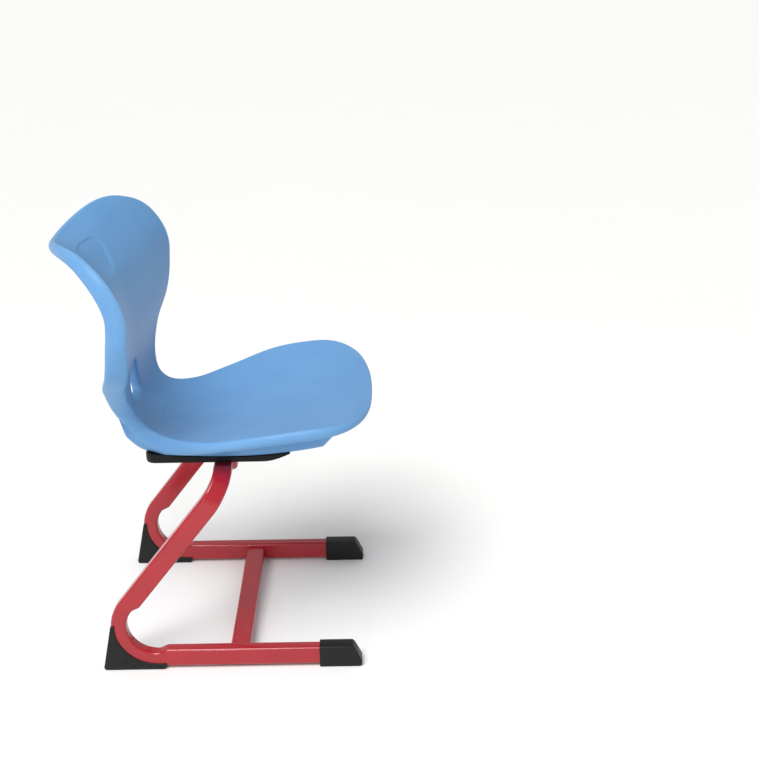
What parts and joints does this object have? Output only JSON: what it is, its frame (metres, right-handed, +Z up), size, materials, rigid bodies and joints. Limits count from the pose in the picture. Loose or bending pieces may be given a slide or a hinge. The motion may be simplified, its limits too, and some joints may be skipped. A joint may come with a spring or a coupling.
{
  "type": "student desk chair",
  "caption": "School chair with a double-walled moulded seat shell, a hand hole and a cantilever frame of red steel tube on runners.",
  "frame": {"origin": "centre of the chair's bounding box, on the floor", "axes": "+X to the sitter's left, -Y the way the chair faces, +Z up"},
  "size_m": [0.489, 0.5262, 0.746],
  "materials": {
    "shell_blue": "fine grained light blue polypropylene",
    "carrier_black": "matt black glass-filled nylon",
    "frame_red": "glossy red powder coat",
    "foot_black": "matt black polypropylene",
    "pin_black": "smooth black nylon",
    "bare_steel": "bare drawn steel",
    "zinc_steel": "bright zinc plate",
    "brass": "turned brass"
  },
  "bodies": {
    "root": {"shell_front": "shell_blue", "shell_back": "shell_blue", "seat_carrier": "carrier_black", "side_tube_left": "frame_red", "side_tube_right": "frame_red", "tube_sleeve": "bare_steel", "floor_cross_bar": "frame_red", "bearing_strip_left": "frame_red", "bearing_strip_right": "frame_red", "rear_foot_left": "foot_black", "rear_foot_right": "foot_black", "front_cap_left": "foot_black", "front_cap_right": "foot_black", "foot_pins": "pin_black", "cap_pins": "pin_black", "cross_bar_welds": "frame_red", "strip_welds": "frame_red", "sleeve_weld": "frame_red", "seat_bolts": "zinc_steel", "seat_washers": "zinc_steel", "shell_inserts": "brass", "shell_screws": "zinc_steel"}
  },
  "joints": []
}
